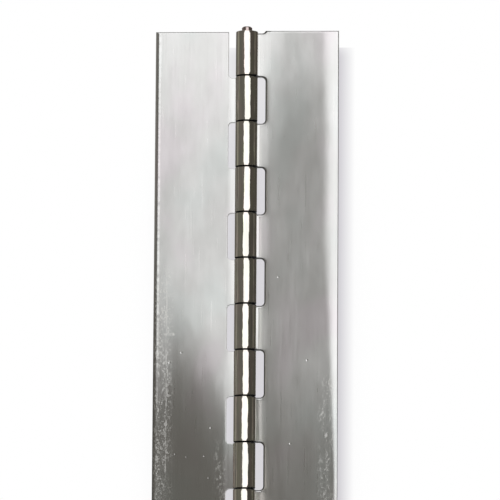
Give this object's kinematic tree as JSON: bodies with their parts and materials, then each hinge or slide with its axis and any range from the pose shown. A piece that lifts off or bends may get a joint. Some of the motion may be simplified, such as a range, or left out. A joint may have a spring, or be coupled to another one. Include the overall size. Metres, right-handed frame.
{
  "type": "piano hinge",
  "caption": "Continuous (piano) hinge with two plain sheet-steel leaves, interleaved rolled knuckles and one full-length pin.",
  "frame": {"origin": "on the pin's axis, half-way along the barrel, which is the centre of the open hinge's bounding box", "axes": "+Z along the pin; +X from the pin across the fixed leaf, with the hinge open flat; +Y out of the flat mounting faces, so the barrel stands proud towards -Y"},
  "size_m": [0.0508, 0.006, 0.3074],
  "materials": {
    "leaf_steel": "bright mill-finish sheet with fine scratches, barrel polished by rolling",
    "pin_steel": "bright drawn wire"
  },
  "bodies": {
    "fixed_side": {"fixed_leaf": "leaf_steel", "hinge_pin": "pin_steel"},
    "moving_side": {"moving_leaf": "leaf_steel"}
  },
  "joints": [
    {"name": "leaf_swing", "type": "hinge", "parent": "fixed_side", "child": "moving_side", "pos_m": [0, 0, 0], "axis": [0, 0, 1], "range_deg": [-110, 186]}
  ]
}
